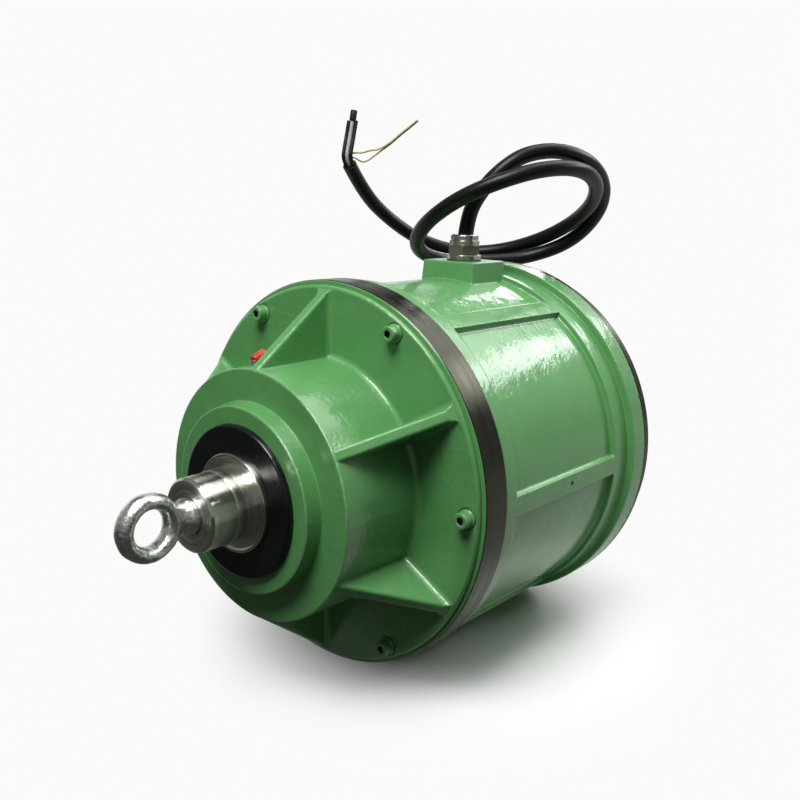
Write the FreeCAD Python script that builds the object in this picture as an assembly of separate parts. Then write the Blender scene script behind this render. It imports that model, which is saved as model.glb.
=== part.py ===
"""Round-bodied vibration motor with two bare shaft ends, a lifting eye and a supply cable.

Millimetres. The shaft axis is the Y axis, the lifting-eye end points towards -Y and the cable
gland points up, +Z. The origin lies on the shaft axis in the mid-plane of the front locating
band. The rear end is the front end mirrored about the middle of the stator frame.
"""
import FreeCAD, Part
import os
from math import cos, pi, radians, sin, sqrt, tan
from FreeCAD import Vector

os.makedirs("parts", exist_ok=True)

# Locating bands, flanges and stator frame
band_radius = 170.0          # machined ring that fits the machine's bore
band_width = 29.0
band_wall = 8.0
rim_step = 4.0               # the shield's rim lies this far under the band
rim_width = 5.0
rim_round = 2.5
body_step = 2.0              # rails and collars lie this far under the band
panel_depth = 5.5            # recess of the six panels between the rails
frame_wall = 22.5            # from a panel's floor to the stator bore
frame_length = 243.0
front_collar = 15.5          # from the band to the panels
rear_collar = 23.5           # from the panels to the rear flange
rear_shoulder = 7.0          # the rear flange stands this far over the body
rear_flange_width = 21.0
rear_edge_width = 5.0        # bare steel edge behind the rear flange
rail_width = 17.0
top_rail_angle = 33.0        # of the four oblique rails, from the vertical
panel_fillet = 2.5
rail_hole_radius = 2.2
rail_hole_depth = 12.0
rail_hole_station = 102.0    # from the band's back edge

# End shields
flange_thickness = 20.0
register_length = 8.0
register_wall = 14.0
hub_length = 80.0
hub_wall = 20.0
hub_taper = 1.0
boss_height = 14.5
boss_wall = 15.5
boss_taper = 1.5
rib_count = 6
rib_thickness = 10.0
rib_edge = 3.0               # the ribs end this far inside the flange's rim
rib_round = 2.5
cast_fillet = 5.0            # at the roots of hub and ribs
edge_fillet = 1.2
screw_count = 6
screw_edge = 6.5             # from the band's seat to the screw circle
lip_width = 8.0              # shoulder in front of the bearing
grease_chamber = 6.0

# Shield screws, M8 socket heads
screw_radius = 4.0
screw_head_radius = 6.5
screw_head_height = 8.0
screw_socket_flats = 6.0
screw_socket_depth = 4.0
screw_length = 45.0
screw_clearance = 0.5
screw_sink = 1.5             # depth of the spot faces under the washers
spot_radius = 8.6
washer_radius = 7.8
washer_height = 2.5

# Bearings, cylindrical roller type
bearing_bore_radius = 40.0
bearing_width = 58.0
inner_race_radius = 50.5
outer_ring_wall = 9.9
roller_length = 38.0
roller_count = 13
roller_gap = 0.3
lip_share = 0.29             # of the outer ring's lips, against the rollers
cage_share = 1.08            # of the cage's thickness, against the rollers
cage_rim = 6.0
ring_chamfer = 1.5

# Inner bearing caps
cap_flange_width = 18.0      # over the bearing seat
cap_thickness = 8.0
cap_nose_wall = 10.0
cap_screw_count = 6
cap_screw_radius = 3.0
cap_screw_head_radius = 5.0
cap_screw_head_height = 6.0
cap_screw_length = 24.0
cap_fit = 0.1
cap_gap = 0.5                # between the cap's bore and the shaft shoulder

# Shaft, turned steel
shaft_end_radius = 29.5
shaft_end_length = 25.0
shaft_step_radius = 30.3
shaft_step_length = 16.0
sleeve_bore_radius = 32.0
shoulder_radius = 46.0
core_seat_radius = 50.0
shaft_chamfer = 2.0
thread_radius = 5.1          # core of the M12 thread in each shaft end
thread_depth = 26.0
counterbore_radius = 15.6
counterbore_depth = 2.5

# Seals and seal sleeves
seal_radius = 63.0
seal_face = 5.0              # the rubber disc stands this far proud of the boss
seal_plug_radius = 55.0
seal_plug_depth = 11.0
seal_round = 2.0
sleeve_radius = 40.4
sleeve_proud = 3.7           # the sleeve stands this far out of the seal
sleeve_collar_radius = 48.0
sleeve_collar_width = 10.0
sleeve_groove = 1.2
seal_gap = 0.3

# Rotor and stator
core_length = 84.0
rotor_share = 0.6514         # of the frame's bore
air_gap = 0.8
bar_count = 28
bar_radius = 4.5
bar_cover = 1.5
end_ring_width = 16.0
end_ring_wall = 22.0
slot_count = 36
slot_share = 0.52            # of the stator core's depth
slot_width = 8.0
slot_mouth = 3.0
tooth_lip = 2.0
slot_liner = 0.5
coil_overhang = 38.0
coil_wall = 7.0              # from the end winding to the stator bore

# Gland pad and cable gland
pad_length = 52.0
pad_width = 60.0
pad_height = 11.4            # the pad's top stands this far over the rails
pad_draft = 2.0
gland_offset = 8.5           # behind the stator core
pad_fillet = 1.5
gland_bore_radius = 12.5
gland_flange_radius = 16.8
gland_flange_height = 4.2
gland_hex_flats = 28.0
gland_hex_height = 9.5
gland_neck_radius = 11.2
gland_neck_height = 0.4      # gap between hexagon and nut
gland_nut_radius = 14.6
gland_collar_height = 4.0
gland_groove_radius = 12.9
gland_groove_height = 1.0
gland_ring_radius = 13.6
gland_ring_height = 5.0
gland_ring_round = 2.0
gland_thread_length = 16.0
gland_wall = 2.2
gasket_thickness = 1.0
cable_radius = 7.5
cable_clearance = 0.3
lead_radius = 5.0
core_radius = 2.1
core_spacing = 4.5
core_sleeve_radius = 3.0
core_sleeve_length = 11.0
thin_lead_radius = 0.9
thin_lead_spread = 1.0       # of the pair, either side of their middle

# Lifting eye, M12
eye_ring_radius = 20.6       # centre line of the ring
eye_wire_radius = 5.9
eye_collar_radius = 15.0
eye_collar_height = 6.0
eye_neck_height = 11.4
eye_thread_length = 20.0
thread_clearance = 0.1

# Grease nipples
nipple_angle = -6.5          # from the vertical, seen from the eye end
nipple_station = 13.0        # behind the hub's front edge
nipple_lean = 62.0           # of the head, from upright towards the flange
nipple_radius = 3.0
nipple_seat_depth = 8.0
nipple_elbow_height = 3.5    # where the head leaves the shank
nipple_head_radius = 2.4
nipple_head_length = 11.0
nipple_cap_start = 3.2       # from the elbow
nipple_cap_radius = 3.6
nipple_cap_length = 12.0
nipple_cap_round = 1.0

# Stations along the shaft and radii that follow from the sizes above
band_front = -band_width / 2
band_back = band_width / 2
face_y = band_front - rim_width
joint_y = face_y + flange_thickness
rear_joint_y = joint_y + frame_length
middle_y = (joint_y + rear_joint_y) / 2
hub_front = face_y - hub_length
boss_front = hub_front - boss_height
seal_front = boss_front - seal_face
sleeve_front = seal_front - sleeve_proud
shaft_front = sleeve_front - shaft_step_length - shaft_end_length
panel_front = band_back + front_collar
rear_flange_back = rear_joint_y - rear_edge_width
rear_flange_front = rear_flange_back - rear_flange_width
panel_back = rear_flange_front - rear_collar
core_front = middle_y - core_length / 2
core_back = middle_y + core_length / 2
pad_y = core_back + gland_offset

seat_radius = band_radius - band_wall
flange_radius = band_radius - rim_step
body_radius = band_radius - body_step
panel_radius = body_radius - panel_depth
bore_radius = panel_radius - frame_wall
rear_flange_radius = body_radius + rear_shoulder
screw_circle = seat_radius - screw_edge
bearing_outer_radius = band_radius / 2
hub_radius = bearing_outer_radius + hub_wall
boss_radius = seal_radius + boss_wall
outer_race_radius = bearing_outer_radius - outer_ring_wall
roller_radius = (outer_race_radius - inner_race_radius) / 2 - roller_gap
pitch_radius = (outer_race_radius + inner_race_radius) / 2
race_lip = lip_share * roller_radius
cage_thickness = cage_share * roller_radius
bearing_front = boss_front + seal_plug_depth + grease_chamber + lip_width
bearing_back = bearing_front + bearing_width
rotor_radius = rotor_share * bore_radius
stator_radius = rotor_radius + air_gap
slot_depth = slot_share * (bore_radius - stator_radius)
pad_top = body_radius + pad_height
oblique = (top_rail_angle, 90.0, 180.0 - top_rail_angle)
rail_angles = [side * angle for angle in oblique for side in (1, -1)]
cap_flange_radius = bearing_outer_radius + cap_flange_width
cap_circle = bearing_outer_radius + cap_flange_width / 2
UP = Vector(0, 0, 1)
ALONG = Vector(0, 1, 0)


def turned(outline):
    """A solid of revolution about the shaft axis from (station, radius) corners."""
    corners = [Vector(radius, station, 0) for station, radius in outline]
    face = Part.Face(Part.makePolygon(corners + corners[:1]))
    return face.revolve(Vector(0, 0, 0), ALONG, 360)


def bar(radius, start, length, axis=ALONG):
    """A round bar from a start point along an axis."""
    return Part.makeCylinder(radius, length, start, axis)


def at_angle(shape, angle):
    """Turn a shape made at the top about the shaft axis; positive goes towards +X."""
    turned_shape = shape.copy()
    turned_shape.rotate(Vector(0, 0, 0), ALONG, angle)
    return turned_shape


def around(shape, count, first=0.0):
    """Equally spaced copies about the shaft axis."""
    return [at_angle(shape, first + 360.0 * i / count) for i in range(count)]


def to_rear(shape):
    """The same piece at the rear end."""
    return shape.mirror(Vector(0, middle_y, 0), ALONG)


def hexagon(flats, base, height, axis):
    """A hexagonal prism across the given flats, standing on a point."""
    corner = flats / sqrt(3.0)
    side = Vector(1, 0, 0)
    across = axis.cross(side)
    points = [base + side * (corner * cos(i * pi / 3)) + across * (corner * sin(i * pi / 3))
              for i in range(7)]
    return Part.Face(Part.makePolygon(points)).extrude(axis * height)


def rounded(shape, radius, wanted):
    """Fillet the edges that a test picks out."""
    return shape.makeFillet(radius, [edge for edge in shape.Edges if wanted(edge)])


def is_circle(edge, station, radius):
    """True for a circle about the shaft axis at a station and radius."""
    curve = edge.Curve
    if not isinstance(curve, Part.Circle):
        return False
    return abs(curve.Center.y - station) < 0.01 and abs(curve.Radius - radius) < 0.01


def save(name, shape):
    """Write one sub-part."""
    shape.exportStep("parts/" + name + ".step")


# Stator frame

def panel_cutters():
    """The six recesses between the rails, with rounded floors."""
    clear = body_radius + 2 * rear_shoulder
    blank = turned([(panel_front, panel_radius), (panel_back, panel_radius),
                    (panel_back, clear), (panel_front, clear)])
    length = panel_back - panel_front
    for angle in rail_angles:
        rail = Part.makeBox(rail_width, length, 2 * clear,
                            Vector(-rail_width / 2, panel_front, 0))
        blank = blank.cut(at_angle(rail, angle))
    return [rounded(solid, panel_fillet, on_panel_floor) for solid in blank.Solids]


def on_panel_floor(edge):
    """True for the edges of a recess's floor."""
    return all(abs(sqrt(v.X ** 2 + v.Z ** 2) - panel_radius) < 0.01 for v in edge.Vertexes)


def gland_pad():
    """Raised seat for the gland, a little wider at its foot."""
    def outline(grow, height):
        x, y = pad_width / 2 + grow, pad_length / 2 + grow
        corners = [Vector(-x, pad_y - y, height), Vector(x, pad_y - y, height),
                   Vector(x, pad_y + y, height), Vector(-x, pad_y + y, height)]
        return Part.makePolygon(corners + corners[:1])
    foot = (panel_radius + bore_radius) / 2
    pad = Part.makeLoft([outline(pad_draft, foot), outline(0, pad_top)], True)
    return rounded(pad, pad_fillet, lambda e: e.BoundBox.ZMax > pad_top - 0.01)


def stator_frame():
    """Cast tube with rails, recessed panels, rear flange and gland pad."""
    shell = turned([
        (joint_y, bore_radius), (joint_y, seat_radius), (band_back, seat_radius),
        (band_back, body_radius), (rear_flange_front, body_radius),
        (rear_flange_front, rear_flange_radius), (rear_flange_back, rear_flange_radius),
        (rear_flange_back, seat_radius), (rear_joint_y, seat_radius),
        (rear_joint_y, bore_radius)])
    shell = rounded(shell, edge_fillet,
                    lambda e: is_circle(e, band_back, body_radius)
                    or is_circle(e, rear_flange_front, rear_flange_radius))
    for cutter in panel_cutters():
        shell = shell.cut(cutter)
    pad = gland_pad().cut(bar(bore_radius + frame_wall / 4, Vector(0, joint_y, 0), frame_length))
    shell = shell.fuse(pad).removeSplitter()
    gland_hole = bar(gland_bore_radius, Vector(0, pad_y, 0), pad_top + 1, UP)
    shell = shell.cut(gland_hole)
    for hole in screw_holes():
        shell = shell.cut(hole).cut(to_rear(hole))
    earth_hole = bar(rail_hole_radius, Vector(0, band_back + rail_hole_station, body_radius - rail_hole_depth),
                     rail_hole_depth + 1, UP)
    return shell.cut(at_angle(earth_hole, 90))


def screw_holes():
    """Tapped holes in the frame's end for the shield screws."""
    hole = bar(screw_radius, Vector(0, face_y, screw_circle), screw_length)
    return around(hole, screw_count, 180.0 / screw_count)


def locating_band():
    """Steel ring over the joint of the front shield and the frame."""
    chamfer = edge_fillet
    return turned([
        (band_front, seat_radius), (band_front, band_radius - chamfer),
        (band_front + chamfer, band_radius), (band_back - chamfer, band_radius),
        (band_back, band_radius - chamfer), (band_back, seat_radius)])


def rear_band():
    """Steel ring at the rear: a bare edge as high as the flange, then a locating land."""
    back = to_rear_station(band_front)
    return turned([
        (rear_flange_back, seat_radius), (rear_flange_back, rear_flange_radius),
        (rear_joint_y, rear_flange_radius), (rear_joint_y, band_radius),
        (back - edge_fillet, band_radius), (back, band_radius - edge_fillet),
        (back, seat_radius)])


def to_rear_station(station):
    """The mirrored place of a station."""
    return 2 * middle_y - station


# End shields

def end_shield():
    """Cast shield: flange, tapered hub with ribs, nose boss, bearing seat and seal bore."""
    hub_root = hub_radius + hub_taper
    boss_tip = boss_radius - boss_taper
    chamber_y = boss_front + seal_plug_depth
    lip_y = chamber_y + grease_chamber
    register = bore_radius - register_wall
    body = turned([
        (boss_front, seal_plug_radius), (boss_front, boss_tip), (hub_front, boss_radius),
        (hub_front, hub_radius), (face_y, hub_root), (face_y, flange_radius),
        (band_front, flange_radius), (band_front, seat_radius), (joint_y, seat_radius),
        (joint_y, bore_radius), (joint_y + register_length, bore_radius),
        (joint_y + register_length, register), (joint_y, register),
        (joint_y, bearing_outer_radius), (bearing_front, bearing_outer_radius),
        (bearing_front, outer_race_radius), (lip_y, outer_race_radius),
        (chamber_y, outer_race_radius), (chamber_y, seal_plug_radius)])
    body = rounded(body, cast_fillet, lambda e: is_circle(e, face_y, hub_root))
    body = rounded(body, rim_round, lambda e: is_circle(e, face_y, flange_radius))
    body = rounded(body, edge_fillet, on_shield_edge)
    for rib in around(shield_rib(), rib_count):
        body = body.fuse(rib)
    body = body.removeSplitter()
    hole = bar(screw_radius + screw_clearance, Vector(0, face_y, screw_circle), flange_thickness)
    spot = bar(spot_radius, Vector(0, face_y - washer_height, screw_circle),
               washer_height + screw_sink)
    for cutter in around(hole.fuse(spot), screw_count, 180.0 / screw_count):
        body = body.cut(cutter)
    for hole in cap_screw_holes():
        body = body.cut(hole)
    return body.cut(nipple_hole())


def on_shield_edge(edge):
    """True for the outer rims of boss and hub."""
    return (is_circle(edge, boss_front, boss_radius - boss_taper)
            or is_circle(edge, hub_front, hub_radius))


def rib_blade(width):
    """Triangle from the hub's front edge to the flange's rim, swept across."""
    inside = bearing_outer_radius + hub_wall / 2
    tip = flange_radius - rib_edge
    outline = [(hub_front + edge_fillet, inside), (hub_front + edge_fillet, hub_radius),
               (face_y, tip), (face_y + rim_width / 2, tip), (face_y + rim_width / 2, inside)]
    corners = [Vector(-width / 2, station, height) for station, height in outline]
    return Part.Face(Part.makePolygon(corners + corners[:1])).extrude(Vector(width, 0, 0))


def on_rib_slope(edge):
    """True for the two long outer edges of a rib."""
    return edge.BoundBox.XLength < 0.01 and edge.BoundBox.YLength > 1 and edge.BoundBox.ZLength > 1


def shield_rib():
    """Triangular rib with rounded edges and a foot that runs out into the flange."""
    rib = rounded(rib_blade(rib_thickness), rib_round, on_rib_slope)
    wide = rib_thickness + 2 * cast_fillet
    foot = rib_blade(wide).common(Part.makeBox(wide, flange_thickness, 2 * band_radius,
                                               Vector(-wide / 2, face_y - cast_fillet, 0)))
    for side in (1, -1):
        foot = foot.cut(bar(cast_fillet, Vector(side * wide / 2, face_y - cast_fillet, 0),
                            2 * band_radius, UP))
    return rib.fuse(foot)


def shield_screws():
    """Socket-head screws with washers, through the flange into the frame."""
    seat = face_y + screw_sink
    top = seat - washer_height - screw_head_height
    head = bar(screw_head_radius, Vector(0, top, screw_circle), screw_head_height)
    head = rounded(head, edge_fillet / 2, lambda e: is_screw_rim(e, top))
    washer = bar(washer_radius, Vector(0, seat - washer_height, screw_circle), washer_height)
    shank = bar(screw_radius, Vector(0, seat, screw_circle), screw_length - screw_sink)
    socket = hexagon(screw_socket_flats, Vector(0, top, screw_circle), screw_socket_depth, ALONG)
    screw = head.fuse(washer).fuse(shank).cut(socket)
    return Part.Compound(around(screw, screw_count, 180.0 / screw_count))


def is_screw_rim(edge, station):
    """True for the rim of a screw head's face."""
    return isinstance(edge.Curve, Part.Circle) and abs(edge.Curve.Center.y - station) < 0.01


# Bearings

def bearing_outer():
    """Outer ring with a lip each side of the rollers."""
    lip_radius = outer_race_radius - race_lip
    half = (bearing_width - roller_length) / 2 - roller_gap
    return turned([
        (bearing_front, lip_radius), (bearing_front, bearing_outer_radius - ring_chamfer),
        (bearing_front + ring_chamfer, bearing_outer_radius),
        (bearing_back - ring_chamfer, bearing_outer_radius),
        (bearing_back, bearing_outer_radius - ring_chamfer), (bearing_back, lip_radius),
        (bearing_back - half, lip_radius), (bearing_back - half, outer_race_radius),
        (bearing_front + half, outer_race_radius), (bearing_front + half, lip_radius)])


def bearing_inner():
    """Plain inner ring."""
    return turned([
        (bearing_front, bearing_bore_radius), (bearing_front, inner_race_radius - ring_chamfer),
        (bearing_front + ring_chamfer, inner_race_radius),
        (bearing_back - ring_chamfer, inner_race_radius),
        (bearing_back, inner_race_radius - ring_chamfer), (bearing_back, bearing_bore_radius)])


def rollers(radius, length):
    """The rollers, or, a little larger, the pockets that hold them."""
    centre = (bearing_front + bearing_back) / 2
    roller = bar(radius, Vector(0, centre - length / 2, pitch_radius), length)
    return around(roller, roller_count)


def roller_cage():
    """Machined cage ring with one pocket for each roller."""
    centre = (bearing_front + bearing_back) / 2
    reach = roller_length / 2 + cage_rim
    inside = pitch_radius - cage_thickness / 2
    cage = turned([(centre - reach, inside), (centre - reach, inside + cage_thickness),
                   (centre + reach, inside + cage_thickness), (centre + reach, inside)])
    for pocket in rollers(roller_radius + roller_gap, roller_length + 2 * roller_gap):
        cage = cage.cut(pocket)
    return cage


def inner_cap():
    """Bolted cap that holds the outer ring in its seat."""
    nose = bearing_outer_radius - cap_fit
    inside = shoulder_radius + cap_gap
    cap = turned([
        (bearing_back, nose - cap_nose_wall), (bearing_back, nose), (joint_y, nose),
        (joint_y, cap_flange_radius), (joint_y + cap_thickness, cap_flange_radius),
        (joint_y + cap_thickness, inside), (joint_y, inside), (joint_y, nose - cap_nose_wall)])
    hole = bar(cap_screw_radius + screw_clearance, Vector(0, joint_y - 1, cap_circle),
               cap_thickness + 2)
    for clearance_hole in around(hole, cap_screw_count):
        cap = cap.cut(clearance_hole)
    return cap


def cap_screw_holes():
    """Tapped holes in the hub's back face."""
    hole = bar(cap_screw_radius, Vector(0, joint_y + cap_thickness - cap_screw_length, cap_circle),
               cap_screw_length)
    return around(hole, cap_screw_count)


def cap_screws():
    """Hexagon-head screws of an inner cap."""
    seat = joint_y + cap_thickness
    shank = bar(cap_screw_radius, Vector(0, seat - cap_screw_length, cap_circle),
                cap_screw_length)
    head = hexagon(2 * cap_screw_head_radius, Vector(0, seat, cap_circle),
                   cap_screw_head_height, ALONG)
    return Part.Compound(around(shank.fuse(head), cap_screw_count))


# Seals

def seal():
    """Rubber shaft seal: a disc over the boss and a plug in its bore."""
    inside = sleeve_radius + seal_gap
    disc = turned([
        (seal_front, inside), (seal_front, seal_radius), (boss_front, seal_radius),
        (boss_front, seal_plug_radius), (boss_front + seal_plug_depth, seal_plug_radius),
        (boss_front + seal_plug_depth, inside)])
    return rounded(disc, seal_round, lambda e: is_circle(e, seal_front, seal_radius))


def seal_sleeve():
    """Hardened sleeve that the seal runs on; its collar bears on the inner ring."""
    groove = sleeve_groove
    ledge = sleeve_radius - 2 * groove
    return turned([
        (sleeve_front + groove, sleeve_bore_radius), (sleeve_front + groove, ledge - groove),
        (sleeve_front, ledge), (sleeve_front, sleeve_radius - groove / 2),
        (sleeve_front + groove / 2, sleeve_radius),
        (bearing_front - sleeve_collar_width, sleeve_radius),
        (bearing_front - sleeve_collar_width, sleeve_collar_radius),
        (bearing_front, sleeve_collar_radius), (bearing_front, sleeve_bore_radius)])


# Rotor

def half_shaft():
    """One half of the shaft, up to the middle of the rotor."""
    shaft = turned([
        (shaft_front, 0), (shaft_front, shaft_end_radius - shaft_chamfer),
        (shaft_front + shaft_chamfer, shaft_end_radius),
        (shaft_front + shaft_end_length, shaft_end_radius),
        (shaft_front + shaft_end_length, shaft_step_radius),
        (sleeve_front + sleeve_groove, shaft_step_radius),
        (sleeve_front + sleeve_groove, sleeve_bore_radius),
        (bearing_front, sleeve_bore_radius), (bearing_front, bearing_bore_radius),
        (bearing_back, bearing_bore_radius), (bearing_back, shoulder_radius),
        (core_front, shoulder_radius), (core_front, core_seat_radius),
        (middle_y, core_seat_radius), (middle_y, 0)])
    thread = bar(thread_radius, Vector(0, shaft_front, 0), thread_depth)
    counterbore = bar(counterbore_radius, Vector(0, shaft_front, 0), counterbore_depth)
    return shaft.cut(thread).cut(counterbore)


def rotor_bars(radius, grow):
    """Cage bars, or the slots for them."""
    circle = rotor_radius - bar_cover - bar_radius
    length = core_length + 2 * grow
    return around(bar(radius, Vector(0, core_front - grow, circle), length), bar_count)


def rotor_core():
    """Laminated stack, pressed on the shaft."""
    core = turned([(core_front, core_seat_radius), (core_front, rotor_radius),
                   (core_back, rotor_radius), (core_back, core_seat_radius)])
    for slot in rotor_bars(bar_radius, 1.0):
        core = core.cut(slot)
    return core


def rotor_cage():
    """Cast aluminium cage: bars with a ring at each end."""
    top = rotor_radius - bar_cover / 2
    front_ring = turned([
        (core_front - end_ring_width, top - end_ring_wall), (core_front - end_ring_width, top),
        (core_front, top), (core_front, top - end_ring_wall)])
    cage = front_ring.fuse(to_rear(front_ring))
    for rod in rotor_bars(bar_radius, 0.0):
        cage = cage.fuse(rod)
    return cage.removeSplitter()


# Stator

def slot_prism(width, mouth, start, length, floor, reach):
    """A slot's outline, wide above the tooth lips, swept along the core."""
    lip = stator_radius + tooth_lip
    half = [(mouth / 2, floor), (mouth / 2, lip), (width / 2, lip + tooth_lip),
            (width / 2, reach)]
    corners = [Vector(x, start, z) for x, z in half]
    corners += [Vector(-x, start, z) for x, z in reversed(half)]
    return Part.Face(Part.makePolygon(corners + corners[:1])).extrude(ALONG * length)


def stator_core():
    """Laminated stack in the frame's bore, slotted for the winding."""
    core = turned([(core_front, stator_radius), (core_front, bore_radius),
                   (core_back, bore_radius), (core_back, stator_radius)])
    slot = slot_prism(slot_width, slot_mouth, core_front - 1, core_length + 2,
                      stator_radius - 1, stator_radius + slot_depth)
    for cutter in around(slot, slot_count):
        core = core.cut(cutter)
    return core


def stator_winding():
    """Copper in the slots and the two end windings."""
    inside = stator_radius + 2 * tooth_lip + slot_liner
    outside = bore_radius - coil_wall
    reach = stator_radius + slot_depth - slot_liner
    width = slot_width / 2 - slot_liner
    nose = coil_overhang / 4
    head = turned([
        (core_front - coil_overhang, inside + nose), (core_front - coil_overhang, outside - nose),
        (core_front - coil_overhang + nose, outside), (core_front - nose, outside),
        (core_front - 1, reach), (core_front - 1, inside),
        (core_front - coil_overhang + nose, inside)])
    winding = head.fuse(to_rear(head))
    side = Part.makeBox(2 * width, core_length + 4, reach - inside,
                        Vector(-width, core_front - 2, inside))
    for coil_side in around(side, slot_count):
        winding = winding.fuse(coil_side)
    return winding.removeSplitter()


# Lifting eye

def lifting_eye():
    """Forged ring on a collar with a threaded shank in the shaft end."""
    collar_front = shaft_front + counterbore_depth - eye_collar_height
    ring_y = collar_front - eye_neck_height + eye_wire_radius - eye_ring_radius - eye_wire_radius
    ring = Part.makeTorus(eye_ring_radius, eye_wire_radius, Vector(0, ring_y, 0), Vector(1, 0, 0))
    neck_reach = ring_y + eye_ring_radius
    neck = turned([
        (neck_reach, 0), (neck_reach, eye_wire_radius), (collar_front - 1, eye_collar_radius - 3),
        (collar_front, eye_collar_radius), (collar_front + eye_collar_height, eye_collar_radius),
        (collar_front + eye_collar_height, thread_radius - thread_clearance),
        (collar_front + eye_collar_height + eye_thread_length, thread_radius - thread_clearance),
        (collar_front + eye_collar_height + eye_thread_length, 0)])
    return ring.fuse(neck).removeSplitter()


# Grease nipples

def nipple_frame(shape):
    """Carry a nipple piece from the vertical to its place on the hub."""
    return at_angle(shape, nipple_angle)


def nipple_base():
    """Where the nipple's axis meets the hub."""
    return Vector(0, hub_front + nipple_station, hub_radius)


def nipple_hole():
    """Grease bore through the hub's wall."""
    depth = nipple_seat_depth
    bore = bar(nipple_radius, nipple_base() - UP * depth, depth + hub_wall, UP)
    passage = bar(nipple_radius / 2, nipple_base() - UP * (hub_wall + 1), hub_wall, UP)
    return nipple_frame(bore.fuse(passage))


def along_head(distance):
    """A point on the axis of the nipple's leaning head, and that axis."""
    lean = radians(nipple_lean)
    axis = Vector(0, sin(lean), cos(lean))
    return nipple_base() + UP * nipple_elbow_height + axis * distance, axis


def grease_nipple():
    """Angled nipple: a shank in the hub and a leaning head under the cap."""
    shank = bar(nipple_radius, nipple_base() - UP * nipple_seat_depth,
                nipple_seat_depth + nipple_elbow_height + nipple_head_radius / 2, UP)
    elbow, axis = along_head(0)
    return nipple_frame(shank.fuse(bar(nipple_head_radius, elbow, nipple_head_length, axis)))


def nipple_cap():
    """Soft cap pushed over the nipple's head."""
    start, axis = along_head(nipple_cap_start)
    tip = along_head(nipple_cap_start + nipple_cap_length)[0]
    cap = bar(nipple_cap_radius, start, nipple_cap_length, axis)
    cap = rounded(cap, nipple_cap_round,
                  lambda e: isinstance(e.Curve, Part.Circle) and (e.Curve.Center - tip).Length < 0.1)
    inside = bar(nipple_head_radius, start, nipple_head_length - nipple_cap_start, axis)
    return nipple_frame(cap.cut(inside))


# Cable gland

gland_seat = pad_top + gasket_thickness
hex_base = gland_seat + gland_flange_height
neck_base = hex_base + gland_hex_height
nut_base = neck_base + gland_neck_height
ring_base = nut_base + gland_collar_height + gland_groove_height
gland_top = ring_base + gland_ring_height
neck_top = (ring_base + gland_top) / 2


def gland_gasket():
    """Flat ring under the gland's flange."""
    ring = bar(gland_flange_radius, Vector(0, pad_y, pad_top), gasket_thickness, UP)
    return ring.cut(bar(gland_bore_radius, Vector(0, pad_y, pad_top), gasket_thickness, UP))


def gland_body():
    """Flange, hexagon, neck and thread of the gland in one piece."""
    start = Vector(0, pad_y, gland_seat)
    flange = bar(gland_flange_radius, start, gland_flange_height, UP)
    flats = hexagon(gland_hex_flats, Vector(0, pad_y, hex_base), gland_hex_height, UP)
    neck = bar(gland_neck_radius, Vector(0, pad_y, neck_base), neck_top - neck_base, UP)
    thread = bar(gland_bore_radius - thread_clearance,
                 Vector(0, pad_y, gland_seat - gland_thread_length), gland_thread_length, UP)
    passage = bar(cable_radius + gland_wall, Vector(0, pad_y, 0), gland_top, UP)
    return flange.fuse(flats).fuse(neck).fuse(thread).removeSplitter().cut(passage)


def gland_nut():
    """Round pressing nut: a collar, a groove and a rounded ring on top."""
    def disc(radius, base, height):
        return bar(radius, Vector(0, pad_y, base), height, UP)
    ring = rounded(disc(gland_ring_radius, ring_base, gland_ring_height), gland_ring_round,
                   lambda e: e.BoundBox.ZMin > gland_top - 0.01)
    nut = disc(gland_nut_radius, nut_base, gland_collar_height)
    nut = nut.fuse(disc(gland_groove_radius, nut_base, neck_top - nut_base)).fuse(ring)
    nut = nut.cut(disc(gland_neck_radius, nut_base, neck_top - nut_base))
    return nut.cut(disc(cable_radius + cable_clearance, nut_base, gland_top - nut_base))


def gland_insert():
    """Rubber ring squeezed round the cable inside the gland."""
    height = neck_top - neck_base
    ring = bar(cable_radius + gland_wall, Vector(0, pad_y, neck_base), height, UP)
    return ring.cut(bar(cable_radius, Vector(0, pad_y, neck_base), height, UP))


def lead_bundle():
    """Leads from the cable's inner end down to the end winding."""
    foot = bore_radius - coil_wall
    return bar(lead_radius, Vector(0, pad_y, foot), hex_base - foot, UP)


# Supply cable: a short riser, two loose loops behind the gland and a bare end in the air.
# The routes are measured from where the cable enters the gland.

gland_entry = Vector(0, pad_y, neck_base)
cable_route = [
    (0, 0, 0), (0, 0, 26.9), (7, 3, 51.9), (24, 13.5, 75.9), (45, 33.5, 92.9), (65, 66.5, 98.9),
    (78, 107.5, 86.9), (74, 145.5, 61.9), (52, 169.5, 29.9), (18, 174.5, -0.1),
    (-21, 159.5, -18.1), (-54, 127.5, -25.1), (-77, 84.5, -25.1), (-81, 38.5, -17.1),
    (-64, -0.5, -1.1), (-31, -23.5, 20.9), (10, -25.5, 44.9), (47, -8.5, 65.9), (73, 25.5, 77.9),
    (86, 68.5, 78.9), (80, 112.5, 65.9), (57, 145.5, 42.9), (21, 162.5, 17.9), (-23, 164.5, -2.1),
    (-66, 152.5, -15.1), (-104, 129.5, -18.1), (-134, 97.5, -6.1), (-151, 62.5, 16.9),
    (-157, 24.5, 44.9), (-151, -6.5, 75.9)]
core_route = [
    (-151, -6.5, 75.9), (-149.8, -12.8, 82.2), (-151, -10.5, 94.9), (-152, -7.5, 107.9),
    (-152.4, -5.5, 120.9)]
thin_route = [
    (-151, -6.2, 83.3), (-147.5, -6.5, 86.5), (-138.5, -6.5, 88.4), (-128, -2.5, 91.4),
    (-116, 8.5, 98.9), (-104, 21.5, 110.9), (-93, 34.5, 122.9)]


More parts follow.
